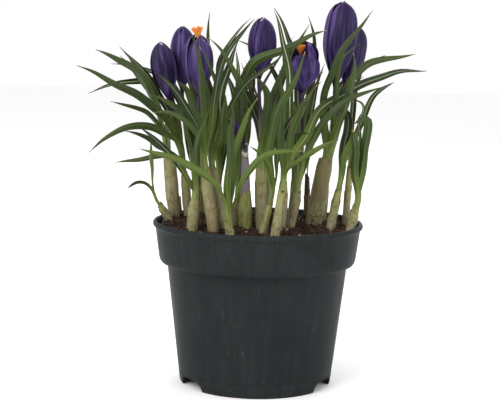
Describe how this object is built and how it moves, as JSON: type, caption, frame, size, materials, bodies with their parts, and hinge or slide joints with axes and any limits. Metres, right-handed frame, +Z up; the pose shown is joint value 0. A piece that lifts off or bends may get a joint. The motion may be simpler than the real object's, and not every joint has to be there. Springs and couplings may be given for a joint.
{
  "type": "potted crocus",
  "caption": "Crocus in a tapered round nursery pot: strap leaves and goblet-shaped violet blooms rise from pale sheaths in peat.",
  "frame": {"origin": "on the pot's axis at the foot of the pot, close under the middle of the whole plant", "axes": "+Z up along the pot's axis, -Y towards the viewer at the front of the plant, +X to the viewer's right"},
  "size_m": [0.1982, 0.158, 0.2192],
  "materials": {
    "pot_plastic": "matte dark slate grey, moulded",
    "peat_soil": "rough crumbly dark peat",
    "sheath_white": "papery satin cream",
    "leaf_green": "satin dark green with a pale midrib stripe",
    "tepal_violet": "silky violet",
    "stigma_orange": "matte orange"
  },
  "bodies": {
    "root": {"bloom_1": "tepal_violet", "bloom_2": "tepal_violet", "bloom_3": "tepal_violet", "bloom_4": "tepal_violet", "bloom_5": "tepal_violet", "bloom_6": "tepal_violet", "bloom_7": "tepal_violet", "bloom_8": "tepal_violet", "corm_1": "sheath_white", "corm_2": "sheath_white", "corm_3": "sheath_white", "corm_4": "sheath_white", "corm_5": "sheath_white", "corm_6": "sheath_white", "corm_7": "sheath_white", "corm_8": "sheath_white", "corm_9": "sheath_white", "leaves_a": "leaf_green", "leaves_b": "leaf_green", "leaves_d": "leaf_green", "leaves_e": "leaf_green", "leaves_f": "leaf_green", "leaves_g": "leaf_green", "leaves_h": "leaf_green", "leaves_i": "leaf_green", "leaves_j": "leaf_green", "leaves_l": "leaf_green", "leaves_m": "leaf_green", "leaves_n": "leaf_green", "leaves_o": "leaf_green", "leaves_p": "leaf_green", "leaves_q": "leaf_green", "leaves_r": "leaf_green", "leaves_s": "leaf_green", "leaves_t": "leaf_green", "leaves_u": "leaf_green", "leaves_v1": "leaf_green", "leaves_v2": "leaf_green", "leaves_v4": "leaf_green", "leaves_v5": "leaf_green", "leaves_x": "leaf_green", "pot": "pot_plastic", "soil": "peat_soil", "stigma_3": "stigma_orange", "stigma_4": "stigma_orange", "stigma_5": "stigma_orange", "stigma_7": "stigma_orange", "stigma_8": "stigma_orange"}
  },
  "joints": []
}
